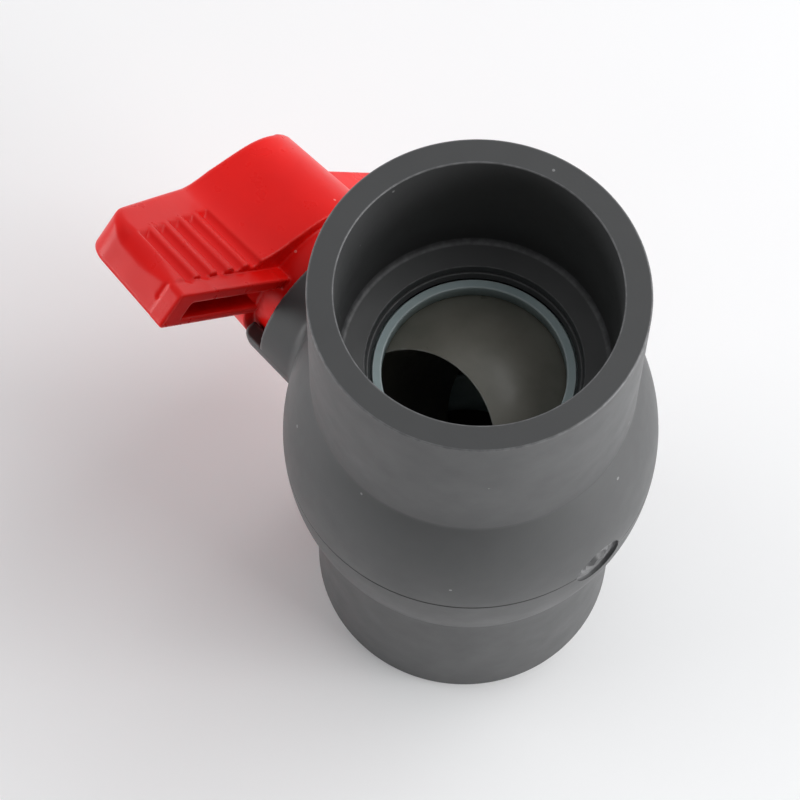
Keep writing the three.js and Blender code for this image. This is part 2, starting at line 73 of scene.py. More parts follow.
CARRIER_OUTER = 40.3
CARRIER_INNER = 37.7
CARRIER_END = 30.5
CARRIER_TOP = 36.0
SEAT_BORE = 21.2
SEAT_COLLAR = 23.3
SEAT_FACE = 34.8
SEAT_SHOULDER = 31.6
SEAT_OUTER = 27.0
SEAT_POCKET = 27.3
SEAT_CEILING = 34.6

NECK = 23.0
NECK_END = 50.0
NECK_BORE = 19.0
NECK_LIP = 16.5
STOP_WALL_INNER = 18.8
STOP_WALL_TOP = 56.6
STOP_WALL_ROUNDING = 2.4

STEM_RADIUS = 10.5
STEM_BOTTOM = 37.5
STEM_TOP = 50.5
COLLAR_RADIUS = 13.2
COLLAR_TOP = 40.1
STEM_SEALS = (44.8, 48.2)
STEM_SEAL_RADIUS = 9.45
STEM_SEAL_SECTION = 1.05
STEM_GROOVE_FLOOR = 8.1
STEM_GROOVE_HALF = 1.35
DRIVE_HALF = 7
DRIVE_BOTTOM = 49
DRIVE_TOP = 65.5
TONGUE_HALF_WIDTH = 3.7
TONGUE_HALF_LENGTH = 12
TONGUE_BOTTOM = 30.9
TONGUE_TOP = 39
SCREW_HOLE = 2.7
SCREW_HOLE_FROM = 50

BUSH_BORE = 10.8
BUSH_OUTER = 18.7
BUSH_RECESS = 13.5
BUSH_CEILING = 41.7
BUSH_SHOULDER = 48.4
BUSH_LIP = 16.2
BUSH_GROOVE = (43.65, 46.45)
BUSH_GROOVE_FLOOR = 15.9
BUSH_SEAL_RADIUS = 17.3
BUSH_SEAL_Z = 45.05
BUSH_SEAL_SECTION = 1.1
THRUST_RING = (40.4, 41.4)

SCREW_PASSAGE = 3.0
SCREW_SHANK = 2.4
SCREW_END = 53.5
SCREW_HEAD = 5
SCREW_HEAD_BOTTOM = 70.7
SCREW_HEAD_TOP = 75.4
SCREW_DOME = 6.3
SCREW_WASHER = (70.0, 71.0)
SCREW_WASHER_OUTER = 6.4
CAP_RADIUS = 8.8
CAP_UNDER = 84.8
CAP_SKIRT_INNER = 4.9
CAP_SKIRT_OUTER = 6.1
CAP_SKIRT_BOTTOM = 81.5

HANDLE_ANGLE = math.radians(43.0)
HUB_TOP = 86.5
HUB_BOTTOM = 57.6
HUB_TOP_RADIUS = 19.4
HUB_BOTTOM_RADIUS = 21.3
WING_TIP = 63.3
WING_BACK = -6.9
WING_RIM = 53.2
WING_STEP = 57.6
SKIRT_FRONT = 3.3
RUN_OVER = 24.2
STOP_RIB = 22.9
SKIRT_RING = 18.2
HUB_HOLLOW = 16.0
HUB_CEILING = 81.3
BOSS = 12.6
BOSS_BOTTOM = 50.6
SQUARE_HALF = 7.3
SQUARE_TOP = 65.8
CAP_WELL = 6.7
CAP_WELL_FLOOR = 68.8
CAP_RECESS = 9.1
CAP_RECESS_FLOOR = 84.5
POCKET_END = 56.6
POCKET_BACK = -4.9
POCKET_FRONT = 0.15
ROOF_WALL = 3.1
GROOVE_COUNT = 5
GROOVE_FIRST = 30.0
GROOVE_PITCH = 6.5
GROOVE_RADIUS = 2.3
GROOVE_OFF_FACE = 0.8

# ---- Placements ---------------------------------------------------------------------------------

TO_FRAME = Matrix.Translation(BALL_CENTRE) @ Matrix.Scale(MM, 4)
PIPE = TO_FRAME  # Z along the pipe
STEM = TO_FRAME @ Matrix.Rotation(-math.pi / 2, 4, "Y")  # Z out along the stem, X along the pipe
HANDLE = STEM @ Matrix.Rotation(-HANDLE_ANGLE, 4, "Z")  # X along the wings
BORE = STEM @ Matrix.Rotation(-BALL_ANGLE, 4, "Z") @ Matrix.Rotation(math.pi / 2, 4, "Y")  # Z along the bore
UPSIDE_DOWN = PIPE @ Matrix.Rotation(math.pi, 4, "X")


def mesh_piece(name, points, faces, placement, edges):
    """A smooth mesh object; edges says how sharp an outward edge each point is on, from 0 to 1."""
    mesh = bpy.data.meshes.new(name)
    mesh.from_pydata([placement @ Vector(p) for p in points], [], faces)
    mesh.attributes.new("edge", "FLOAT", "POINT").data.foreach_set("value", np.asarray(edges, float))
    mesh.update()
    mesh.polygons.foreach_set("use_smooth", [True] * len(mesh.polygons))
    made = bpy.data.objects.new(name, mesh)
    bpy.context.scene.collection.objects.link(made)
    return made


# ---- Turned pieces ------------------------------------------------------------------------------


def corner_arc(before, corner, after, radius, steps=4):
    """Points that round a corner of an outline, with one more on each side to hold the flats flat."""
    corner = np.array(corner)
    a, b = np.array(before) - corner, np.array(after) - corner
    length_a, length_b = np.hypot(*a), np.hypot(*b)
    a, b = a / length_a, b / length_b
    half = math.acos(max(-1.0, min(1.0, float(a @ b)))) / 2
    radius = min(radius, 0.45 * min(length_a, length_b) * math.tan(half))
    reach = radius / math.tan(half)
    middle = (a + b) / np.hypot(*(a + b))
    centre = corner + middle * radius / math.sin(half)
    start, end = corner + a * reach - centre, corner + b * reach - centre
    turn = math.pi - 2 * half
    arc = [
        centre + (math.sin(turn * (1 - t)) * start + math.sin(turn * t) * end) / math.sin(turn)
        for t in np.linspace(0, 1, steps + 1)
    ]
    hold = 0.3 * radius
    return [corner + a * (reach + hold), *arc, corner + b * (reach + hold)]


def rounded(outline):
    """An outline of (radius, height) points, and (radius, height, rounding) corners, as points and edges."""
    points, edges = [], []
    for i, corner in enumerate(outline):
        if len(corner) == 2:
            points.append(corner)
            edges.append(0.0)
            continue
        before, after = outline[i - 1][:2], outline[(i + 1) % len(outline)][:2]
        arc = corner_arc(before, corner[:2], after, corner[2])
        points += [tuple(p) for p in arc]
        edges += [0.0] + [1.0] * (len(arc) - 2) + [0.0]
    return points, edges


def turned(name, outline, placement=PIPE, sides=192):
    """A closed ring turned about Z. The outline runs anticlockwise, and may start and end on the axis."""
    points, edges = rounded(outline)
    count = len(points)
    on_axis = [abs(r) < 1e-9 for r, _ in points]
    places, starts, marks = [], [], []
    for (r, z), axial, edge in zip(points, on_axis, edges):
        starts.append(len(places))
        turns = 1 if axial else sides
        angles = [2 * math.pi * k / sides for k in range(turns)]
        places += [(r * math.cos(t), r * math.sin(t), z) for t in angles]
        marks += [edge] * turns
    faces = []
    for i in range(count):
        j = (i + 1) % count
        if on_axis[i] and on_axis[j]:
            continue
        for k in range(sides):
            n = (k + 1) % sides
            low = [starts[i]] if on_axis[i] else [starts[i] + k, starts[i] + n]
            high = [starts[j]] if on_axis[j] else [starts[j] + n, starts[j] + k]
            faces.append(low + high)
    return mesh_piece(name, places, faces, placement, marks)


def arc_points(centre, radius, start, end, steps):
    return [
        (centre[0] + radius * math.cos(t), centre[1] + radius * math.sin(t))
        for t in np.linspace(start, end, steps + 1)
    ]


def flipped(outline):
    """The outline's mirror image below height 0, in the order that continues it."""
    return [(p[0], -p[1], *p[2:]) for p in reversed(outline)]


def ring(name, radius, height, section, placement=PIPE):
    outline = arc_points((radius, height), section, 0, 2 * math.pi * 23 / 24, 23)
    return turned(name, outline, placement, 128)


# ---- Pieces made from a distance field ----------------------------------------------------------


def round_max(a, b, radius):
    """Where both hold, with an outward edge of that radius."""
    over = np.hypot(np.maximum(a + radius, 0), np.maximum(b + radius, 0))
    return np.minimum(-radius, np.maximum(a, b)) + over


def round_min(a, b, radius):
    """Where either holds, with an inward fillet of that radius."""
    return -round_max(-a, -b, radius)


def ramp(value, low, high):
    """0 below low, 1 above high, and smooth between."""
    t = np.clip((value - low) / (high - low), 0, 1)
    return t * t * (3 - 2 * t)


def net_cells(values, axis, low, step):
    """The crossings of a field's zero along one axis: their places, and the four cells round each."""
    shape = values.shape
    u, v = (axis + 1) % 3, (axis + 2) % 3
    first = np.take(values, range(shape[axis] - 1), axis)
    second = np.take(values, range(1, shape[axis]), axis)
    index = np.argwhere((first < 0) != (second < 0))
    for across in (u, v):
        index = index[(index[:, across] > 0) & (index[:, across] < shape[across] - 1)]
    a, b = first[tuple(index.T)], second[tuple(index.T)]
    places = index.astype(float)
    places[:, axis] += a / (a - b)
    cells = []
    for du, dv in ((0, 0), (-1, 0), (-1, -1), (0, -1)):
        cell = index.copy()
        cell[:, u] += du
        cell[:, v] += dv
        cells.append(np.ravel_multi_index(cell.T, [n - 1 for n in shape]))
    quads = np.stack(cells, axis=1)
    quads[a >= 0] = quads[a >= 0][:, ::-1]
    return np.array(low) + places * step, quads


def slope(field, points, step):
    """The field a step ahead of the points and a step behind them, along each axis."""
    sides = []
    for axis in range(3):
        shift = np.zeros(3)
        shift[axis] = step
        sides.append((field(points + shift), field(points - shift)))
    return sides


def grown(name, field, low, high, step, placement):
    """A mesh of the surface where field(points) is 0, on a grid, then moved onto the surface exactly."""
    axes = [np.arange(a, b + step, step) for a, b in zip(low, high)]
    values = field(np.stack(np.meshgrid(*axes, indexing="ij"), axis=-1))
    found = [net_cells(values, axis, low, step) for axis in range(3)]
    quads = np.concatenate([q for _, q in found])
    places = np.concatenate([p for p, _ in found])
    used, corner = np.unique(quads, return_inverse=True)
    corner = corner.reshape(quads.shape)
    points = np.zeros((len(used), 3))
    for axis in range(3):
        weights = np.repeat(places[:, axis], 4)
        points[:, axis] = np.bincount(corner.ravel(), weights) / np.bincount(corner.ravel())
    reach = 0.1 * step
    for _ in range(5):
        value = field(points)
        rise = np.stack([(a - b) / (2 * reach) for a, b in slope(field, points, reach)], axis=1)
        move = value / np.maximum((rise**2).sum(1), 0.2)
        points -= np.clip(move, -step, step)[:, None] * rise
    span = 0.6
    bend = sum(a + b for a, b in slope(field, points, span)) - 6 * field(points)
    edges = np.clip(bend / span - 0.12, 0, 1)
    return mesh_piece(name, points.tolist(), corner.tolist(), placement, edges)


# ---- Body ---------------------------------------------------------------------------------------


def body_outline():
    """Outside and inside of the body, with the parting line cut in at height 0."""
    centre = BULGE - BULGE_ARC
    fillet_r = SOCKET_OUTER + BULGE_FILLET
    fillet_z = math.sqrt((BULGE_ARC + BULGE_FILLET) ** 2 - (fillet_r - centre) ** 2)
    meet = math.atan2(fillet_z, fillet_r - centre)
    end_z = math.sqrt(CAVITY**2 - (CARRIER_END + GAP) ** 2)
    line = PARTING_LINE / BULGE_ARC
    outside = [
        (BULGE - PARTING_LINE, 0),
        *arc_points((centre, 0), BULGE_ARC, line, meet, 30),
        *arc_points((fillet_r, fillet_z), BULGE_FILLET, math.pi + meet, math.pi, 6)[1:],
        *[(SOCKET_OUTER, z) for z in (36, 46, 56, 66)],
        (SOCKET_OUTER, HALF_LENGTH, 0.35),
    ]
    inside = [
        (SOCKET_MOUTH, HALF_LENGTH, 0.3),
        (SOCKET_ROOT, LEDGE_OUTER_Z, 1.2),
        (LEDGE_INNER, LEDGE_INNER_Z, 0.25),
        (LEDGE_INNER - 0.3, CAVITY_TOP, 0.1),
        (CARRIER_END + GAP, CAVITY_TOP),
        *arc_points((0, 0), CAVITY, math.atan2(end_z, CARRIER_END + GAP), 0, 16),
    ]
    return [*flipped(outside), *outside[1:], *inside, *flipped(inside)[1:]]


def cut_away(piece, cutter):
    """Cuts a mesh with another, which is used up."""
    cut = piece.modifiers.new("cut", "BOOLEAN")
    cut.operation = "DIFFERENCE"
    cut.solver = "EXACT"
    cut.object = cutter
    bpy.context.view_layer.update()
    graph = bpy.context.evaluated_depsgraph_get()
    result = bpy.data.meshes.new_from_object(piece.evaluated_get(graph))
    piece.modifiers.clear()
    old, piece.data = piece.data, result
    bpy.data.meshes.remove(old)
    bpy.data.objects.remove(cutter)
    piece.data.set_sharp_from_angle(angle=math.radians(35))
    return piece


def neck_bore_cutter():
    """A plain rod that opens the neck's bore through the wall round the ball."""
    return turned("cutter", [(0, 20), (NECK_BORE, 20), (NECK_BORE, 60), (0, 60)], STEM, 96)


def gate_cutter():
    """The round recess opposite the stem, with the broken stub of the sprue left standing in it."""
    outward = STEM @ Matrix.Rotation(math.pi, 4, "Y")
    stub = [(0, 44.2), (1.4, 44.3), (2.1, 43.8), (2.7, 43.3), (3.4, 43.6), (4.1, 43.25), (4.8, 43.5),
            (5.5, GATE_FLOOR), (GATE_RADIUS, GATE_FLOOR, 0.3), (GATE_RADIUS, 50), (0, 50)]
    return turned("cutter", stub, outward, 96)


def neck_field(p):
    """The neck and its stop wall in the stem's frame, blended into a bulge just below the shell's."""
    x, y, z = p[..., 0], p[..., 1], p[..., 2]
    radius = np.hypot(x, y)
    below_bulge = 0.04
    bulge = np.hypot(np.hypot(y, z) + BULGE_ARC - BULGE, x) - BULGE_ARC + below_bulge
    neck = round_max(radius - NECK, z - NECK_END, 0.35)
    wall = round_max(radius - NECK, z - STOP_WALL_TOP, STOP_WALL_ROUNDING)
    wall = round_max(wall, STOP_WALL_INNER - radius, 0.5)
    wall = round_max(wall, x, 0.45)
    wall = np.maximum(wall, NECK_END - 2 - z)
    outside = round_min(np.minimum(neck, wall), bulge, 1.8)
    bore = np.minimum(round_max(radius - NECK_BORE, z - NECK_END + 1.3, 0.2), radius - NECK_LIP)
    skin = np.maximum(-bulge - 1.3, radius - 27.5)
    skin = np.where(radius < NECK - 0.5, 35.5 - z, skin)
    return np.maximum(round_max(outside, -bore, 0.3), skin)


def make_body():
    shell = turned("body_shell", body_outline(), PIPE, 256)
    cut_away(shell, neck_bore_cutter())
    cut_away(shell, gate_cutter())
    neck = grown("body_neck", neck_field, (-28.5, -28.5, 33), (28.5, 28.5, 57.5), 0.5, STEM)
    return [shell, neck]


# ---- Carriers, seats and rubber rings -----------------------------------------------------------


def carrier_outline():
    seam = 0.15
    outer_end = math.acos(CARRIER_END / CARRIER_OUTER)
    inner_start = math.acos(SEAT_POCKET / CARRIER_INNER)
    return [
        *arc_points((0, 0), CARRIER_OUTER, seam / CARRIER_OUTER, outer_end, 20),
        (CARRIER_END, CARRIER_TOP, 0.3),
        (SEAT_COLLAR + 1.0, CARRIER_TOP, 0.25),
        (SEAT_COLLAR + GAP, SEAT_CEILING, 0.15),
        (SEAT_POCKET, SEAT_CEILING),
        *arc_points((0, 0), CARRIER_INNER, inner_start, seam / CARRIER_INNER, 20),
    ]


def seat_outline():
    ball_side = BALL + GAP
    bore, outer = math.acos(SEAT_BORE / ball_side), math.acos(SEAT_OUTER / ball_side)
    return [
        *arc_points((0, 0), ball_side, bore, outer, 6),
        (SEAT_OUTER, SEAT_SHOULDER, 0.3),
        (SEAT_COLLAR, SEAT_SHOULDER, 0.15),
        (SEAT_COLLAR, SEAT_FACE, 0.25),
        (SEAT_BORE, SEAT_FACE, 0.3),
    ]


def make_seats():
    made = []
    for end, placement in (("upper", PIPE), ("lower", UPSIDE_DOWN)):
        carrier = turned(f"carrier_shell_{end}", carrier_outline(), placement, 192)
        cut_away(carrier, neck_bore_cutter())
        seat = turned(f"seat_{end}", seat_outline(), placement, 256)
        backing = ring(f"seat_backing_{end}", (SEAT_COLLAR + SEAT_POCKET) / 2, 33.1, 1.2, placement)
        made.append((carrier, seat, backing))
    return made


# ---- Ball and the pieces on the stem ------------------------------------------------------------


def make_ball():
    edge = math.acos(BALL_BORE / BALL)
    mouth = BALL * math.sin(edge)
    sphere = arc_points((0, 0), BALL, -edge, edge, 72)[1:-1]
    ball = turned("ball_turned", [*sphere, (BALL_BORE, mouth, 0.5), (BALL_BORE, -mouth, 0.5)], BORE, 256)
    turn = STEM @ Matrix.Rotation(-BALL_ANGLE, 4, "Z")
    corners = [(sx * BALL_SLOT_WIDTH / 2, sy * BALL, z) for z in (BALL_SLOT_FLOOR, BALL + 3)
               for sx, sy in ((-1, -1), (1, -1), (1, 1), (-1, 1))]
    sides = [(3, 2, 1, 0), (4, 5, 6, 7), (0, 1, 5, 4), (1, 2, 6, 5), (2, 3, 7, 6), (3, 0, 4, 7)]
    return cut_away(ball, mesh_piece("cutter", corners, sides, turn, [0] * 8))


def stem_outline():
    grooves = []
    for height in STEM_SEALS:
        low, high = height - STEM_GROOVE_HALF, height + STEM_GROOVE_HALF
        grooves += [(STEM_RADIUS, low, 0.1), (STEM_GROOVE_FLOOR, low, 0.1)]
        grooves += [(STEM_GROOVE_FLOOR, high, 0.1), (STEM_RADIUS, high, 0.1)]
    collar = [(COLLAR_RADIUS, STEM_BOTTOM, 0.4), (COLLAR_RADIUS, COLLAR_TOP, 0.3)]
    collar += [(STEM_RADIUS, COLLAR_TOP, 0.2)]
    return [(0, STEM_BOTTOM), *collar, *grooves, (STEM_RADIUS, STEM_TOP, 0.3), (0, STEM_TOP)]


def square_field(p):
    """The stem's square drive and its tongue, in the handle's frame."""
    x, y, z = p[..., 0], p[..., 1], p[..., 2]
    drive = round_max(np.abs(x) - DRIVE_HALF, np.abs(y) - DRIVE_HALF, 0.8)
    drive = round_max(drive, np.maximum(z - DRIVE_TOP, DRIVE_BOTTOM - z), 0.5)
    lead = BALL_ANGLE - HANDLE_ANGLE
    u, v = x * math.cos(lead) - y * math.sin(lead), x * math.sin(lead) + y * math.cos(lead)
    tongue = round_max(np.abs(u) - TONGUE_HALF_WIDTH, np.abs(v) - TONGUE_HALF_LENGTH, 0.5)
    tongue = round_max(tongue, np.maximum(z - TONGUE_TOP, TONGUE_BOTTOM - z), 0.5)
    from_hole = np.where(z > SCREW_HOLE_FROM, np.hypot(x, y), 9)
    return np.maximum(np.minimum(drive, tongue), SCREW_HOLE - from_hole)


def bush_outline():
    low, high = BUSH_GROOVE
    groove = [(BUSH_OUTER, low, 0.15), (BUSH_GROOVE_FLOOR, low, 0.1)]
    groove += [(BUSH_GROOVE_FLOOR, high, 0.1), (BUSH_OUTER, high, 0.15)]
    inside = [(BUSH_BORE, BUSH_CEILING, 0.2), (BUSH_RECESS, BUSH_CEILING, 0.2), (BUSH_RECESS, 35.5, 0.2)]
    top = [(BUSH_OUTER, BUSH_SHOULDER, 0.3), (BUSH_LIP, BUSH_SHOULDER, 0.2)]
    top += [(BUSH_LIP, NECK_END, 0.3), (BUSH_BORE, NECK_END, 0.3)]
    return [*inside, (BUSH_OUTER, 33.2, 0.3), *groove, *top]


def screw_head_field(p):
    """A pan head with a cross recess, in the handle's frame."""
    x, y, z = p[..., 0], p[..., 1], p[..., 2]
    dome = np.sqrt(x**2 + y**2 + (z - 69.1) ** 2) - SCREW_DOME
    head = round_max(np.maximum(dome, np.hypot(x, y) - SCREW_HEAD), SCREW_HEAD_BOTTOM - z, 0.3)
    shank = round_max(np.hypot(x, y) - SCREW_SHANK, SCREW_END - z, 0.4)
    shank = np.maximum(shank, z - 72)
    across, along = np.minimum(np.abs(x), np.abs(y)), np.maximum(np.abs(x), np.abs(y))
    cross = np.maximum(across - 0.6, along - 3 + (SCREW_HEAD_TOP - z) * 0.7)
    cross = np.maximum(cross, 72.5 - z)
    return np.maximum(np.minimum(head, shank), -cross)


def flat_ring(inner, outer, low, high, rounding):
    return [(inner, low, rounding), (outer, low, rounding), (outer, high, rounding), (inner, high, rounding)]


def cap_outline():
    skirt = [(CAP_SKIRT_INNER, CAP_UNDER), (CAP_SKIRT_INNER, CAP_SKIRT_BOTTOM, 0.2)]
    skirt += [(CAP_SKIRT_OUTER, CAP_SKIRT_BOTTOM, 0.3), (CAP_SKIRT_OUTER, CAP_UNDER, 0.2)]
    return [(0, CAP_UNDER), *skirt, (CAP_RADIUS, CAP_UNDER, 0.3), (CAP_RADIUS, HUB_TOP, 0.4), (0, HUB_TOP)]


def make_stem_pieces():
    stem = turned("stem_turned", stem_outline(), HANDLE, 128)
    square = grown("stem_square", square_field, (-13, -14, 30), (13, 14, 66.5), 0.5, HANDLE)
    seals = [
        ring(f"stem_seal_{side}", STEM_SEAL_RADIUS, height, STEM_SEAL_SECTION, HANDLE)
        for side, height in zip(("in", "out"), STEM_SEALS)
    ]
    screw = grown("screw", screw_head_field, (-6, -6, 52.5), (6, 6, 76), 0.3, HANDLE)
    washer_outline = flat_ring(SCREW_HOLE, SCREW_WASHER_OUTER, *SCREW_WASHER, 0.15)
    washer = turned("screw_washer", washer_outline, HANDLE, 96)
    cap = turned("cap", cap_outline(), HANDLE, 128)
    return stem, square, seals, screw, washer, cap


def make_bush_pieces():
    bush = turned("bush", bush_outline(), STEM, 160)
    seal = ring("bush_ring", BUSH_SEAL_RADIUS, BUSH_SEAL_Z, BUSH_SEAL_SECTION, STEM)
    washer = turned("thrust_ring", flat_ring(BUSH_BORE, COLLAR_RADIUS, *THRUST_RING, 0.2), STEM)
    return bush, seal, washer


# ---- Handle -------------------------------------------------------------------------------------


def roof_height(x):
    """The handle's outer edge, which falls from the hub to the wing's tip."""
    return HUB_TOP - 5.0 * np.maximum(x - HUB_TOP_RADIUS, 0) / (WING_TIP - HUB_TOP_RADIUS)


def grip_face(x, z):
    """The wing's front face: a wedge that thins towards the tip, more so near the step."""
    share = np.clip((x - 28) / 33, -0.3, 1.2)
    near_step, near_edge = 5.8 - 2.2 * share, 5.3 - 1.3 * share
    return near_step + (near_edge - near_step) * np.clip((z - WING_STEP) / 22.5, 0, 1.3)


def groove_field(x, y, z):
    """The grip's five grooves, which slope out at the outer end and stop just short of the step."""
    cut = np.full(np.broadcast(x, y, z).shape, 99.0)
    for i in range(GROOVE_COUNT):
        middle = GROOVE_FIRST + GROOVE_PITCH * i
        face = grip_face(np.array(middle), z)
        high, low = roof_height(np.array(middle)) - 8.2, WING_STEP + 0.9
        bar = np.hypot(x - middle, y - face - GROOVE_OFF_FACE) - GROOVE_RADIUS
        bar = np.maximum(bar, 0.7 * (z - high) + 0.7 * (face - y))
        inner_end = np.hypot(bar + GROOVE_RADIUS, np.maximum(low - z, 0)) - GROOVE_RADIUS
        bar = np.maximum(bar, inner_end)
        cut = np.minimum(cut, bar)
    return cut


def wing_and_hub(x, y, z):
    """The solid outside of the handle, before anything is cut from it."""
    radius = np.hypot(x, y)
    taper = HUB_TOP_RADIUS - HUB_BOTTOM_RADIUS
    hub_radius = HUB_BOTTOM_RADIUS + taper * (z - HUB_BOTTOM) / (HUB_TOP - HUB_BOTTOM)
    hub = round_max(radius - hub_radius, HUB_BOTTOM - z, 0.3)
    fillet = np.where(y > 0, 10.0, 1.6)
    back = WING_BACK + 0.01 * (z - WING_RIM) - y
    plate = np.maximum(round_max(y - grip_face(x, z), back, 0.6), -x)
    plate = round_max(round_min(plate, radius - hub_radius, fillet), WING_STEP - z, 0.3)
    skirt = np.maximum(round_max(y - SKIRT_FRONT, back, 0.6), np.maximum(-x, z - WING_STEP - 1))
    end = x - WING_TIP + 2.0 * (z - WING_RIM) / 28.0 + 0.12 * ramp(z, WING_STEP - 0.1, WING_STEP + 0.25)
    tip = round_max(z - roof_height(x), end, 6.0)
    below_roof = np.clip((roof_height(x) - z) / 8, 0, 1)
    at_end = ramp(x, 50, 58) * below_roof * ramp(z, WING_STEP - 2, WING_STEP + 10)
    plate = round_max(plate, tip, np.where(y > -2, 1.3 + 2.6 * at_end, 0.8))
    skirt = round_max(skirt, tip, np.where(y > -2, 1.2, 0.8))
    return np.minimum(np.minimum(plate, round_max(hub, tip, 1.3)), skirt)


def quarter(x, y):
    """The quarter of the handle's underside that the stop wall never passes."""
    lean = math.radians(1)
    return np.maximum(x * math.sin(lean) - y * math.cos(lean), y * math.sin(lean) - x * math.cos(lean))


def underside_field(x, y, z):
    """What reaches below the hub inside the stop wall: the drive's boss and a ring."""
    radius = np.hypot(x, y)
    boss = round_max(radius - BOSS, BOSS_BOTTOM - z, 0.5)
    ring_part = round_max(round_max(radius - SKIRT_RING, HUB_HOLLOW - radius, 0.4), BOSS_BOTTOM - z, 0.4)
    return np.maximum(np.minimum(boss, ring_part), z - HUB_BOTTOM - 1)


def stop_ribs(x, y, z):
    """The two ribs outside that ring that meet the stop wall's ends. One carries on a wing's front wall."""
    radius = np.hypot(x, y)
    ribs = round_max(quarter(x, y), np.minimum(x, y) - SKIRT_FRONT, 0.5)
    ribs = round_max(round_max(ribs, radius - STOP_RIB, 0.3), WING_RIM - z, 0.4)
    return np.maximum(np.maximum(ribs, HUB_HOLLOW + 1 - radius), z - HUB_BOTTOM - 1)


def open_underside(shape, x0, y0, x, y, z):
    """Cuts the wings' pockets and the room that the stop wall moves in, and adds what stands in it."""
    radius = np.hypot(x, y)
    pocket_sides = round_max(POCKET_BACK - y, y - POCKET_FRONT, 0.8)
    pocket = round_max(round_max(RUN_OVER - 1 - x, x - POCKET_END, 0.8), pocket_sides, 0.8)
    pocket = round_max(pocket, z - roof_height(x) + ROOF_WALL, 0.8)
    shape = round_max(shape, -pocket, 0.4)
    past_wall = round_max(radius - RUN_OVER, z - HUB_BOTTOM, 0.4)
    past_wall = round_max(past_wall, -quarter(x0, y0), 0.3)
    inside_ribs = np.maximum(radius - STOP_RIB + 0.6, z - HUB_BOTTOM)
    shape = round_max(shape, -np.minimum(past_wall, inside_ribs), 0.4)
    shape = round_min(shape, stop_ribs(x0, y0, z), 0.5)
    return round_min(shape, underside_field(x0, y0, z), 0.5)


def hub_holes(x, y, z):
    """The hub's ring-shaped hollow, the square drive, the screw's hole and the cap's well and recess."""
    radius = np.hypot(x, y)
    hollow = round_max(round_max(radius - HUB_HOLLOW, BOSS - radius, 0.4), z - HUB_CEILING, 0.5)
    square = round_max(np.abs(x) - SQUARE_HALF, np.abs(y) - SQUARE_HALF, 0.5)
    square = np.maximum(square, z - SQUARE_TOP)
    well = np.maximum(radius - CAP_WELL, CAP_WELL_FLOOR - z)
    recess = np.maximum(radius - CAP_RECESS, CAP_RECESS_FLOOR - z)
    holes = np.minimum(np.minimum(square, radius - SCREW_PASSAGE), np.minimum(well, recess))
    return np.minimum(hollow, holes)


def handle_field(p):
    x0, y0, z = p[..., 0], p[..., 1], p[..., 2]
    side = np.where(x0 < 0, -1.0, 1.0)  # the far wing is the near one turned half round
    x, y = x0 * side, y0 * side
    shape = wing_and_hub(x, y, z)
    shape = round_max(shape, -groove_field(x, y, z), 0.3)
    shape = round_max(shape, WING_RIM - z, 0.4)
    shape = open_underside(shape, x0, y0, x, y, z)
    return round_max(shape, -hub_holes(x, y, z), 0.3)


def make_handle():
    return grown("handle_moulded", handle_field, (-65, -25.5, 49.5), (65, 25.5, 88), 0.5, HANDLE)


# ---- Materials ----------------------------------------------------------------------------------


class Finish:
    """A node material being put together round one Principled shader."""

    def __init__(self, name, roughness, **sockets):
        self.material = bpy.data.materials.new(name)
        self.material.use_nodes = True
        self.nodes = self.material.node_tree.nodes
        self.links = self.material.node_tree.links
        self.shader = self.nodes["Principled BSDF"]
        self.shader.inputs["Roughness"].default_value = roughness
        for socket, value in sockets.items():
            self.shader.inputs[socket.replace("_", " ")].default_value = value
        self.place = self.node("ShaderNodeTexCoord").outputs["Object"]

    def node(self, kind, settings=None, **inputs):
        made = self.nodes.new(kind)
        for key, value in (settings or {}).items():
            setattr(made, key, value)
        for key, value in inputs.items():
            socket = made.inputs[int(key[1:])] if key[0] == "i" and key[1:].isdigit() else made.inputs[key]
            if isinstance(value, bpy.types.NodeSocket):
                self.links.new(value, socket)
            else:
                socket.default_value = value
        return made

    def noise(self, size, detail=3.0, roughness=0.55):
        """Noise between 0 and 1 with features of about that size, in millimetres."""
        return self.node("ShaderNodeTexNoise", None, Vector=self.place, Scale=1 / (size * MM), Detail=detail,
                         Roughness=roughness).outputs["Fac"]

    def math(self, operation, a, b=0.0):
        return self.node("ShaderNodeMath", {"operation": operation}, i0=a, i1=b).outputs[0]

    def between(self, value, low, high, to_low=0.0, to_high=1.0):
        """value from low to high, mapped to to_low to to_high and held there."""
        made = self.node("ShaderNodeMapRange", None, Value=value)
        for key, number in (("From Min", low), ("From Max", high), ("To Min", to_low), ("To Max", to_high)):
            made.inputs[key].default_value = number
        return made.outputs["Result"]

    def mix(self, share, first, second):
        """A blend of two colours, each a colour or a socket."""
        made = self.node("ShaderNodeMix", {"data_type": "RGBA"})
        for index, value in ((0, share), (6, first), (7, second)):
            if isinstance(value, bpy.types.NodeSocket):
                self.links.new(value, made.inputs[index])
            else:
                made.inputs[index].default_value = value if index == 0 else (*value, 1.0)
        return made.outputs[2]

    def edge(self):
        """How sharp an outward edge the surface is on, as mesh_piece() stored it."""
        return self.node("ShaderNodeAttribute", {"attribute_name": "edge"}).outputs["Fac"]

    def use(self, socket, value):
        self.links.new(value, self.shader.inputs[socket])

    def bumps(self, *layers):
        """Stacks bumps, each a height from 0 to 1 and its depth in millimetres."""
        normal = None
        for height, depth in layers:
            inputs = {"Height": height, "Distance": depth * MM, "Strength": 1.0}
            if normal:
                inputs["Normal"] = normal
            normal = self.node("ShaderNodeBump", None, **inputs).outputs["Normal"]
        self.use("Normal", normal)


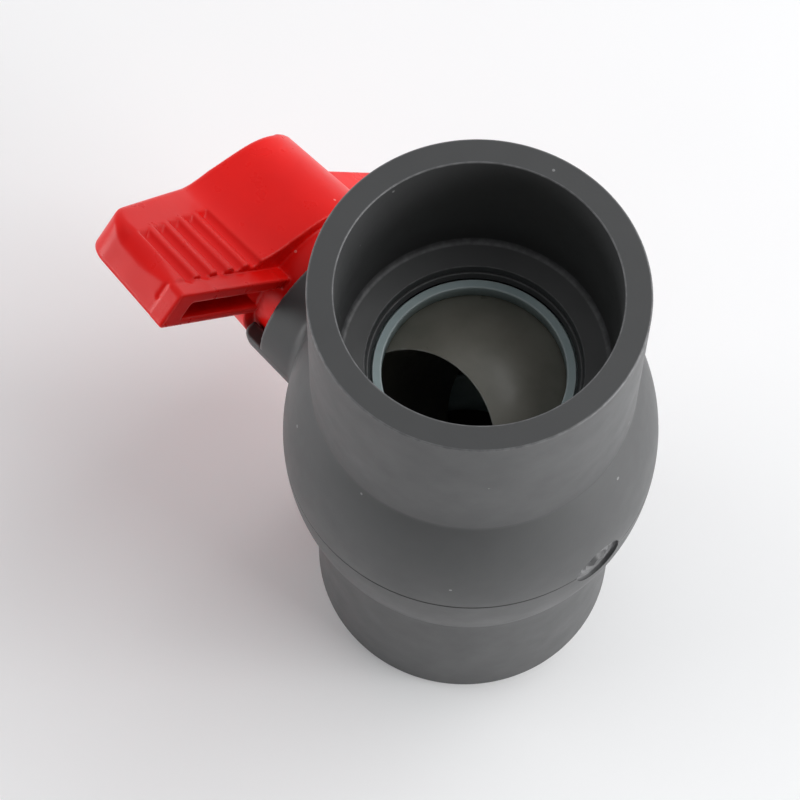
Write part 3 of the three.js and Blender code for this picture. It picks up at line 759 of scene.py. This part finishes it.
def dust(finish, size, amount):
    """Small round specks, scattered: 1 on a speck and 0 off it."""
    cells = finish.node("ShaderNodeTexVoronoi", {"feature": "F1"}, Vector=finish.place, Scale=1 / (size * MM))
    near = finish.math("LESS_THAN", cells.outputs["Distance"], 0.09)
    chosen = finish.node("ShaderNodeSeparateColor", None, Color=cells.outputs["Color"]).outputs[0]
    return finish.math("MULTIPLY", near, finish.math("LESS_THAN", chosen, amount))


def grey_plastic():
    finish = Finish("grey_plastic_look", 0.46)
    finish.shader.inputs["Specular IOR Level"].default_value = 0.52
    cloud = finish.between(finish.noise(38), 0.35, 0.65)
    color = finish.mix(cloud, (0.046, 0.047, 0.048), (0.053, 0.054, 0.055))
    flow = finish.between(finish.noise(6, 5.0, 0.7), 0.3, 0.7, 0.0, 0.2)
    color = finish.mix(flow, color, (0.062, 0.062, 0.063))
    height = finish.node("ShaderNodeSeparateXYZ", None, Vector=finish.place).outputs["Z"]
    from_line = finish.math("ABSOLUTE", finish.math("SUBTRACT", height, BALL_CENTRE.z))
    line = finish.between(from_line, 0.1 * MM, 0.4 * MM, 0.8, 0.0)
    color = finish.mix(line, color, (0.012, 0.012, 0.012))
    # Convex edges lightened: partly chipped wear, partly a painted edge highlight along the rims.
    edge = finish.edge()
    lighter_edges = finish.math("MULTIPLY", edge, finish.between(finish.noise(2.2, 4.0), 0.38, 0.6, 0.45, 1.0))
    color = finish.mix(finish.math("MULTIPLY", lighter_edges, 0.6), color, (0.19, 0.19, 0.195))
    color = finish.mix(finish.math("MULTIPLY", dust(finish, 5.0, 0.05), 0.5), color, (0.36, 0.36, 0.36))
    finish.use("Base Color", color)
    finish.use("Roughness", finish.between(finish.noise(9, 4.0), 0.3, 0.7, 0.41, 0.49))
    finish.bumps((finish.noise(0.6, 2.0), 0.014), (finish.noise(16, 2.0), 0.025))
    return finish.material


def red_plastic():
    finish = Finish("red_plastic_look", 0.3)
    finish.shader.inputs["Specular IOR Level"].default_value = 0.22
    cloud = finish.between(finish.noise(25), 0.35, 0.65)
    color = finish.mix(cloud, (0.72, 0.003, 0.002), (0.80, 0.005, 0.003))
    # Painted edge highlight: every convex edge mixed evenly towards a lighter red.
    lighter_edges = finish.math("MULTIPLY", finish.edge(), 0.12)
    color = finish.mix(lighter_edges, color, (0.9, 0.10, 0.08))
    color = finish.mix(finish.math("MULTIPLY", dust(finish, 4.0, 0.03), 0.4), color, (0.9, 0.45, 0.42))
    finish.use("Base Color", color)
    finish.use("Roughness", finish.between(finish.noise(7, 4.0), 0.3, 0.7, 0.25, 0.38))
    finish.bumps((finish.noise(0.9, 2.0), 0.008), (finish.noise(9, 2.0), 0.06))
    return finish.material


def ball_plastic():
    finish = Finish("ball_plastic_look", 0.34)
    cloud = finish.between(finish.noise(16, 4.0), 0.35, 0.65)
    color = finish.mix(cloud, (0.20, 0.195, 0.165), (0.26, 0.25, 0.215))
    edge = finish.edge()
    lighter_edges = finish.math("MULTIPLY", edge, finish.between(finish.noise(1.6, 4.0), 0.42, 0.58, 0.1, 1.0))
    color = finish.mix(lighter_edges, color, (0.36, 0.35, 0.33))
    finish.use("Base Color", color)
    finish.use("Roughness", finish.between(finish.noise(5, 5.0), 0.3, 0.7, 0.27, 0.42))
    finish.bumps((finish.noise(0.5, 2.0), 0.006), (finish.noise(11, 2.0), 0.04))
    return finish.material


def seat_plastic():
    finish = Finish("seat_plastic_look", 0.42)
    cloud = finish.between(finish.noise(8, 3.0), 0.35, 0.65)
    color = finish.mix(cloud, (0.42, 0.53, 0.54), (0.49, 0.60, 0.61))
    # Painted highlight: convex edges mixed towards a paler blue-grey.
    color = finish.mix(finish.math("MULTIPLY", finish.edge(), 0.35), color, (0.75, 0.8, 0.81))
    finish.use("Base Color", color)
    finish.use("Roughness", finish.between(finish.noise(4, 4.0), 0.3, 0.7, 0.36, 0.5))
    finish.bumps((finish.noise(0.6, 2.0), 0.008),)
    return finish.material


def black_rubber():
    finish = Finish("black_rubber_look", 0.7)
    cloud = finish.between(finish.noise(3, 4.0), 0.35, 0.65)
    finish.use("Base Color", finish.mix(cloud, (0.011, 0.011, 0.012), (0.02, 0.02, 0.021)))
    finish.bumps((finish.noise(0.4, 2.0), 0.01),)
    return finish.material


def screw_steel():
    finish = Finish("screw_steel_look", 0.32, Metallic=1.0)
    cloud = finish.between(finish.noise(2.5, 5.0), 0.3, 0.7)
    finish.use("Base Color", finish.mix(cloud, (0.5, 0.5, 0.51), (0.62, 0.62, 0.63)))
    finish.use("Roughness", finish.between(finish.noise(1.5, 5.0), 0.3, 0.7, 0.25, 0.42))
    finish.bumps((finish.noise(0.3, 3.0), 0.006),)
    return finish.material


# ---- Floor, light and camera --------------------------------------------------------------------


def make_floor():
    bpy.ops.mesh.primitive_plane_add(size=6, location=(0, 0, 0))
    floor = bpy.context.object
    floor.name = "floor"
    finish = Finish("floor_look", 0.9)
    tone = finish.between(finish.noise(120, 2.0), 0.3, 0.7)
    finish.use("Base Color", finish.mix(tone, (0.94, 0.94, 0.945), (0.955, 0.955, 0.96)))
    finish.shader.inputs["Specular IOR Level"].default_value = 0.1
    floor.data.materials.append(finish.material)


def area_light(name, place, target, size, power):
    data = bpy.data.lights.new(name, "AREA")
    data.shape = "RECTANGLE"
    data.size, data.size_y = size
    data.energy = power
    light = bpy.data.objects.new(name, data)
    light.location = place
    light.rotation_euler = (Vector(target) - Vector(place)).to_track_quat("-Z", "Y").to_euler()
    bpy.context.scene.collection.objects.link(light)


def make_light():
    """A pale room, dimmer on the side that the camera stands on, and three softboxes."""
    world = bpy.data.worlds.new("studio")
    bpy.context.scene.world = world
    world.use_nodes = True
    nodes, links = world.node_tree.nodes, world.node_tree.links
    sky = nodes["Background"]
    sky.inputs["Color"].default_value = (0.97, 0.985, 1.0, 1)
    facing = nodes.new("ShaderNodeVectorMath")
    facing.operation = "DOT_PRODUCT"
    facing.inputs[1].default_value = (0.74, -0.67, 0.0)
    links.new(nodes.new("ShaderNodeTexCoord").outputs["Generated"], facing.inputs[0])
    strength = nodes.new("ShaderNodeMapRange")
    for key, number in (("From Min", -1.0), ("From Max", 1.0), ("To Min", 0.82), ("To Max", 0.12)):
        strength.inputs[key].default_value = number
    links.new(facing.outputs["Value"], strength.inputs["Value"])
    links.new(strength.outputs["Result"], sky.inputs["Strength"])
    middle = (0, 0, 0.07)
    area_light("softbox_back", (0.5, 1.05, 1.15), middle, (1.6, 1.4), 14)
    area_light("softbox_right", (1.15, 0.6, 0.3), middle, (0.9, 0.6), 15)
    area_light("softbox_left", (-0.95, -0.85, 0.25), middle, (1.0, 0.4), 8)


def make_camera():
    """The photo's view, solved from the socket's circles; its place is given from the upper end's middle."""
    data = bpy.data.cameras.new("camera")
    data.sensor_width = 36
    data.lens = 137.0
    camera = bpy.data.objects.new("camera", data)
    right = Vector((0.66968, 0.74262, 0.00490))
    up = Vector((-0.67931, 0.60988, 0.40827))
    forward = Vector((-0.30021, 0.27674, -0.91290))
    turn = Matrix((right, up, -forward)).transposed().to_4x4()
    from_ball = Vector((201.37, -208.52, 741.23 - HALF_LENGTH)) * MM
    camera.matrix_world = Matrix.Translation(BALL_CENTRE + from_ball) @ turn
    bpy.context.scene.collection.objects.link(camera)
    bpy.context.scene.camera = camera


# ---- Assembly -----------------------------------------------------------------------------------


def finished(piece, material, body, slot, *nodes):
    """Gives a piece its material and the body it moves with, and hides the CAD nodes that it stands for."""
    piece.data.materials.clear()
    piece.data.materials.append(material)
    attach(piece, body)
    if nodes:
        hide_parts(*nodes)


def assemble():
    grey, red, dark = grey_plastic(), red_plastic(), ball_plastic()
    pale, rubber, steel = seat_plastic(), black_rubber(), screw_steel()
    shell, neck = make_body()
    finished(shell, grey, "housing", "grey_plastic", "valve_body")
    finished(neck, grey, "housing", "grey_plastic", "valve_body")
    for end, (carrier, seat, backing) in zip(("upper", "lower"), make_seats()):
        finished(carrier, grey, "housing", "grey_plastic", f"carrier_{end}")
        finished(seat, pale, "housing", "seat_plastic", f"seat_ring_{end}")
        finished(backing, rubber, "housing", "black_rubber", f"seat_backing_ring_{end}")
    bush, bush_ring, thrust = make_bush_pieces()
    finished(bush, grey, "housing", "grey_plastic", "stem_bush")
    finished(bush_ring, rubber, "housing", "black_rubber", "bush_seal")
    finished(thrust, pale, "housing", "seat_plastic", "thrust_washer")
    finished(make_ball(), dark, "drive", "ball_plastic", "ball")
    stem, square, seals, screw, washer, cap = make_stem_pieces()
    finished(stem, dark, "drive", "ball_plastic", "stem")
    finished(square, dark, "drive", "ball_plastic", "stem")
    for seal, node in zip(seals, ("stem_seal_inner", "stem_seal_outer")):
        finished(seal, rubber, "drive", "black_rubber", node)
    finished(screw, steel, "drive", "screw_steel", "handle_screw")
    finished(washer, steel, "drive", "screw_steel", "handle_washer")
    finished(cap, red, "drive", "red_plastic", "handle_cap")
    finished(make_handle(), red, "drive", "red_plastic", "handle")


make_camera()
assemble()
make_floor()
make_light()
bpy.context.scene.view_settings.view_transform = "Standard"
